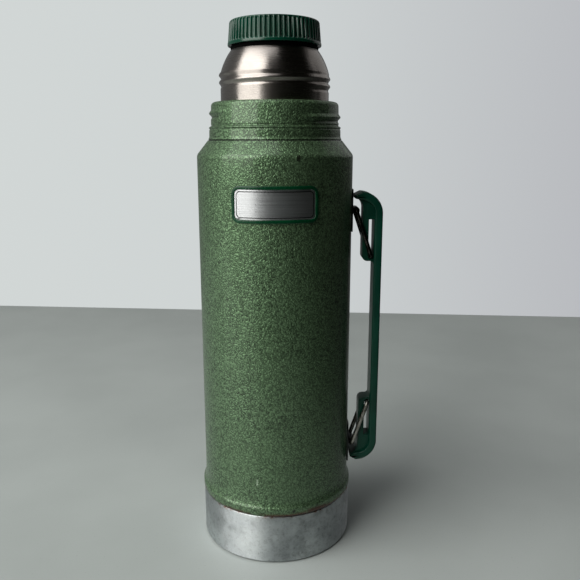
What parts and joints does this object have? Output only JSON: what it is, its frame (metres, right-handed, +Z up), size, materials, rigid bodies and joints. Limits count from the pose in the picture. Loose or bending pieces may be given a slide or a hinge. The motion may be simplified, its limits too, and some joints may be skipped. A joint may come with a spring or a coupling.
{
  "type": "vacuum bottle",
  "caption": "Steel vacuum bottle with hammertone jacket, bare steel neck and base, ribbed screw stopper and a folding side handle on wire bails.",
  "frame": {"origin": "centre of the base's underside, on the surface the bottle stands on", "axes": "+Z up the bottle's axis, -Y to the front with the badge, +X to the handle"},
  "size_m": [0.1169, 0.0996, 0.3287],
  "materials": {
    "green_enamel": "hammertone enamel",
    "dark_enamel": "dark green enamel, worn",
    "bare_steel": "satin, scratched",
    "neck_steel": "turned stainless steel",
    "wire_steel": "drawn wire",
    "copper_tip": "pinched soft tube",
    "support_foam": "glass-fibre felt",
    "pad_rubber": "cellular rubber",
    "badge_green": "dark green lacquer",
    "badge_silver": "brushed",
    "handle_plastic": "moulded, slightly worn",
    "stopper_plastic": "moulded",
    "stopper_foam": "foam filling",
    "gasket_rubber": "smooth"
  },
  "bodies": {
    "bottle": {"body_jacket": "green_enamel", "cup_thread_collar": "green_enamel", "base_cup": "bare_steel", "neck_shell": "neck_steel", "inner_liner": "neck_steel", "jacket_bottom": "bare_steel", "pump_out_tip": "copper_tip", "getter": "bare_steel", "liner_support": "support_foam", "base_pad": "pad_rubber", "badge_frame": "badge_green", "badge_plate": "badge_silver", "upper_bracket": "dark_enamel", "lower_bracket": "dark_enamel"},
    "upper_bail": {"upper_bail": "wire_steel"},
    "lower_bail": {"lower_bail": "wire_steel"},
    "handle": {"handle": "handle_plastic"},
    "stopper_seal": {"stopper_gasket": "gasket_rubber"},
    "stopper": {"stopper_cap": "stopper_plastic", "stopper_plug": "stopper_plastic", "stopper_core": "stopper_foam"}
  },
  "joints": [
    {"name": "upper_bail_swing", "type": "hinge", "parent": "bottle", "child": "upper_bail", "pos_m": [0.0505, 0, 0.2175], "axis": [0, -1, 0], "range_deg": [0, 33]},
    {"name": "handle_swing", "type": "hinge", "parent": "upper_bail", "child": "handle", "pos_m": [0.0604, 0, 0.1885], "axis": [0, -1, 0], "range_deg": [-33, 0]},
    {"name": "lower_bail_swing", "type": "hinge", "parent": "bottle", "child": "lower_bail", "pos_m": [0.0505, 0, 0.0611], "axis": [0, -1, 0], "range_deg": [-33, 0]},
    {"name": "stopper_rise", "type": "slide", "parent": "bottle", "child": "stopper_seal", "axis": [0, 0, 1], "range_m": [0, 0.048]},
    {"name": "stopper_turn", "type": "hinge", "parent": "stopper_seal", "child": "stopper", "pos_m": [0, 0, 0.3123], "axis": [0, 0, 1], "range_deg": [0, 2880]}
  ],
  "couplings": [
    {"joint": "handle_swing", "follows": "upper_bail_swing", "ratio": -1},
    {"joint": "lower_bail_swing", "follows": "upper_bail_swing", "ratio": -1},
    {"joint": "stopper_rise", "follows": "stopper_turn", "m_per_rad": 0.00095493}
  ]
}
